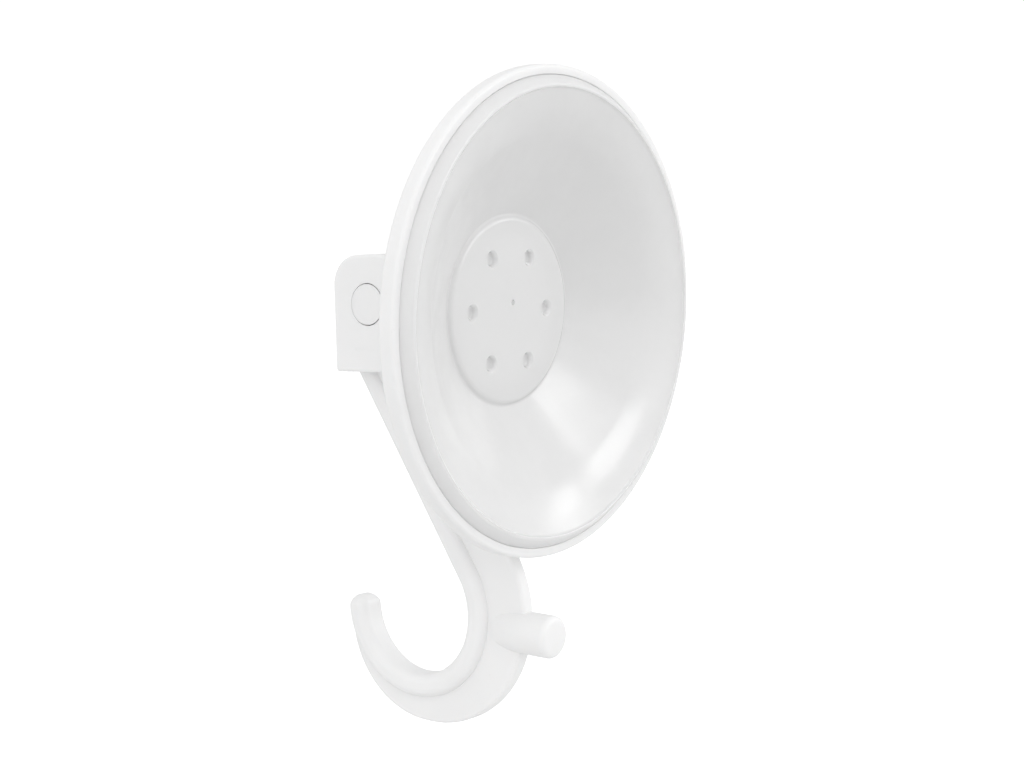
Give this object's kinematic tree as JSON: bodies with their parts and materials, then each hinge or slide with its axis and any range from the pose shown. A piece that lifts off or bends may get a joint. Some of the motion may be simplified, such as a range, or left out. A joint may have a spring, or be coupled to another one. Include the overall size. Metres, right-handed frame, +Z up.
{
  "type": "suction cup hook",
  "caption": "Lever-lock suction hook: clear soft cup in a round white dish, with a cam lever that ends in a J hook and a wall peg.",
  "frame": {"origin": "centre of the cup's lip, in the plane that meets the wall", "axes": "+Y into the wall along the suction axis, +Z up, X across the lever"},
  "size_m": [0.08, 0.0445, 0.112],
  "materials": {
    "clear_soft_plastic": "clear, slightly milky, glossy",
    "white_plastic": "satin moulded",
    "white_pin_plastic": "satin moulded"
  },
  "bodies": {
    "cup_and_stud": {"suction_cup": "clear_soft_plastic", "stud": "white_plastic", "pivot_pin": "white_pin_plastic"},
    "dish": {"housing": "white_plastic"},
    "lever": {"lever_hook": "white_plastic"}
  },
  "joints": [
    {"name": "lever_pivot", "type": "hinge", "parent": "cup_and_stud", "child": "lever", "pos_m": [0, -0.0366, 0], "axis": [1, 0, 0], "range_deg": [-94.5, 0]},
    {"name": "housing_slide", "type": "slide", "parent": "cup_and_stud", "child": "dish", "axis": [0, -1, 0], "range_m": [0, 0.0025]}
  ],
  "couplings": [
    {"joint": "housing_slide", "follows": "lever_pivot", "m_per_rad": -0.0015157}
  ]
}
